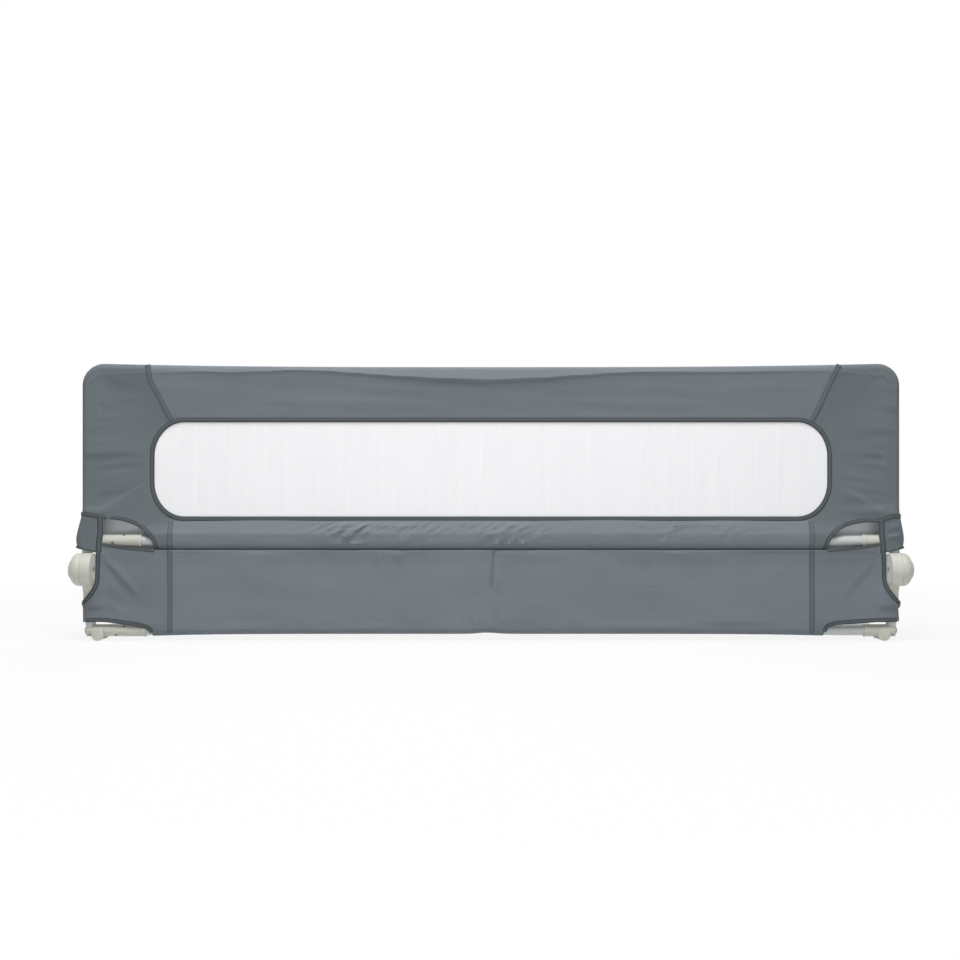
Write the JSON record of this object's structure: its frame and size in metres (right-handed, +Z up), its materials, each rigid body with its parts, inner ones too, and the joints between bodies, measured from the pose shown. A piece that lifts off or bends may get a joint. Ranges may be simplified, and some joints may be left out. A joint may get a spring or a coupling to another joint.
{
  "type": "folding bed guard rail",
  "caption": "Wide guard for the side of a bed: padded cloth cover with a mesh window on a tube frame that folds outward and down on locking hubs, with legs that lie under the mattress.",
  "frame": {"origin": "on the floor plane at the middle of the guard's width and depth, under its lowest fittings", "axes": "+X along the guard to the right as seen from the room, +Y from the guard to the bed, along the legs, +Z up"},
  "size_m": [1.536, 0.476, 0.508],
  "materials": {
    "painted_tube": "pale grey powder coat",
    "fitting_plastic": "pale grey moulded plastic with a soft sheen",
    "screw_steel": "zinc plated",
    "cap_rubber": "matt",
    "cover_cloth": "woven polyester, mid grey",
    "window_net": "fine white net",
    "binding_tape": "folded woven tape, dark grey",
    "spring_steel": "bare spring wire",
    "cog_plastic": "dark engineering plastic"
  },
  "bodies": {
    "base": {"bottom_rail_left": "painted_tube", "bottom_rail_right": "painted_tube", "bottom_rail_joiner": "painted_tube", "bottom_sleeve": "fitting_plastic", "bottom_sleeve_screw_1": "screw_steel", "bottom_sleeve_screw_2": "screw_steel", "corner_fitting_left": "fitting_plastic", "corner_fitting_right": "fitting_plastic", "corner_screw_left": "screw_steel", "corner_screw_right": "screw_steel", "leg_left": "painted_tube", "leg_right": "painted_tube", "leg_cap_left": "cap_rubber", "leg_cap_right": "cap_rubber", "lower_post_left": "painted_tube", "lower_post_right": "painted_tube", "lower_arm_left": "fitting_plastic", "lower_arm_right": "fitting_plastic", "lower_arm_screw_left": "screw_steel", "lower_arm_screw_right": "screw_steel", "hub_bolt_left": "screw_steel", "hub_bolt_right": "screw_steel", "hub_washer_left": "screw_steel", "hub_washer_right": "screw_steel", "hub_nut_left": "screw_steel", "hub_nut_right": "screw_steel", "lock_spring_left": "spring_steel", "lock_spring_right": "spring_steel", "skirt": "cover_cloth"},
    "guard": {"upper_arm_left": "fitting_plastic", "upper_arm_right": "fitting_plastic", "upper_arm_screw_left": "screw_steel", "upper_arm_screw_right": "screw_steel", "side_post_left": "painted_tube", "side_post_right": "painted_tube", "corner_bend_left": "painted_tube", "corner_bend_right": "painted_tube", "top_rail_left": "painted_tube", "top_rail_right": "painted_tube", "top_rail_joiner": "painted_tube", "middle_rail_left": "painted_tube", "middle_rail_right": "painted_tube", "middle_rail_joiner": "painted_tube", "middle_sleeve": "fitting_plastic", "middle_sleeve_screw_1": "screw_steel", "middle_sleeve_screw_2": "screw_steel", "cover": "cover_cloth", "window_mesh": "window_net", "window_binding": "binding_tape"},
    "button_left": {"push_button_left": "fitting_plastic"},
    "button_right": {"push_button_right": "fitting_plastic"},
    "cog_left": {"lock_cog_left": "cog_plastic"},
    "cog_right": {"lock_cog_right": "cog_plastic"}
  },
  "joints": [
    {"name": "fold", "type": "hinge", "parent": "base", "child": "guard", "pos_m": [0, -0.208, 0.131], "axis": [1, 0, 0], "range_deg": [0, 180]},
    {"name": "press_left", "type": "slide", "parent": "guard", "child": "button_left", "axis": [1, 0, 0], "range_m": [0, 0.0052], "stiffness_N_per_m": 700, "springref_m": -0.004},
    {"name": "press_right", "type": "slide", "parent": "guard", "child": "button_right", "axis": [-1, 0, 0], "range_m": [0, 0.0052], "stiffness_N_per_m": 700, "springref_m": -0.004},
    {"name": "release_left", "type": "slide", "parent": "base", "child": "cog_left", "axis": [1, 0, 0], "range_m": [0, 0.0052], "deforming": ["lock_spring_left"]},
    {"name": "release_right", "type": "slide", "parent": "base", "child": "cog_right", "axis": [-1, 0, 0], "range_m": [0, 0.0052], "deforming": ["lock_spring_right"]}
  ],
  "couplings": [
    {"joint": "release_left", "follows": "press_left", "ratio": 1},
    {"joint": "release_right", "follows": "press_right", "ratio": 1}
  ]
}
